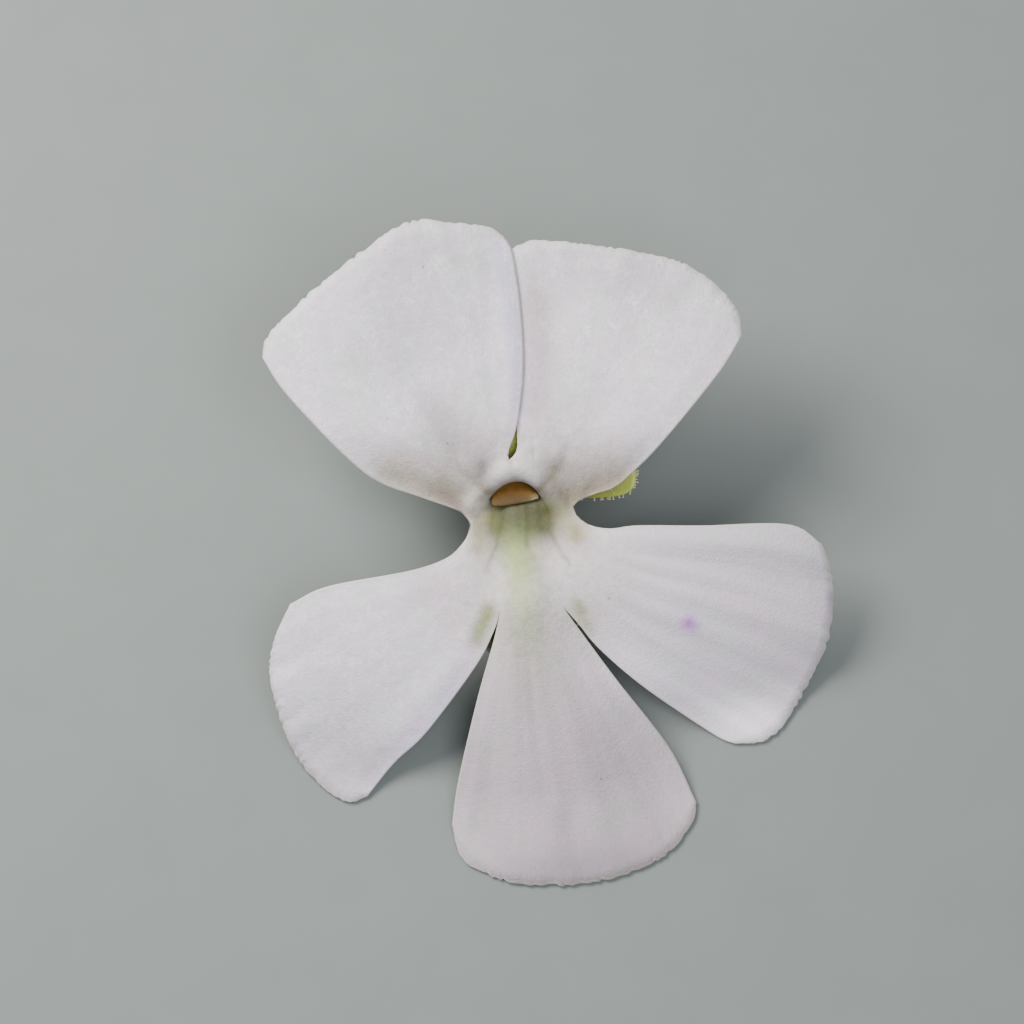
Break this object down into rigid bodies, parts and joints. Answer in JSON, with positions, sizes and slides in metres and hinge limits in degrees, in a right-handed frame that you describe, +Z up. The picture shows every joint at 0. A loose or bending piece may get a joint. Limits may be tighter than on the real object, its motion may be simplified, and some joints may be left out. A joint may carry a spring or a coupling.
{
  "type": "butterwort flower",
  "caption": "White butterwort blossom as picked, with five spreading petals, a short spur and a cut stub of stalk, lying on its back.",
  "frame": {"origin": "middle of the flower's footprint, on the surface that it lies on", "axes": "+Z up from the surface, +Y from the lower petal towards the two upper petals, +X to the right as one looks down into the flower"},
  "size_m": [0.0258, 0.0282, 0.011],
  "materials": {
    "petal": "satin",
    "stigma": "matte",
    "anther": "matte",
    "sepal": "satin",
    "stalk": "satin"
  },
  "bodies": {
    "root": {"corolla": "petal", "pistil": "stigma", "stamen_left": "anther", "stamen_right": "anther", "sepal_upper_middle": "sepal", "sepal_upper_left": "sepal", "sepal_upper_right": "sepal", "sepal_lower_left": "sepal", "sepal_lower_right": "sepal", "stalk": "stalk"}
  },
  "joints": []
}
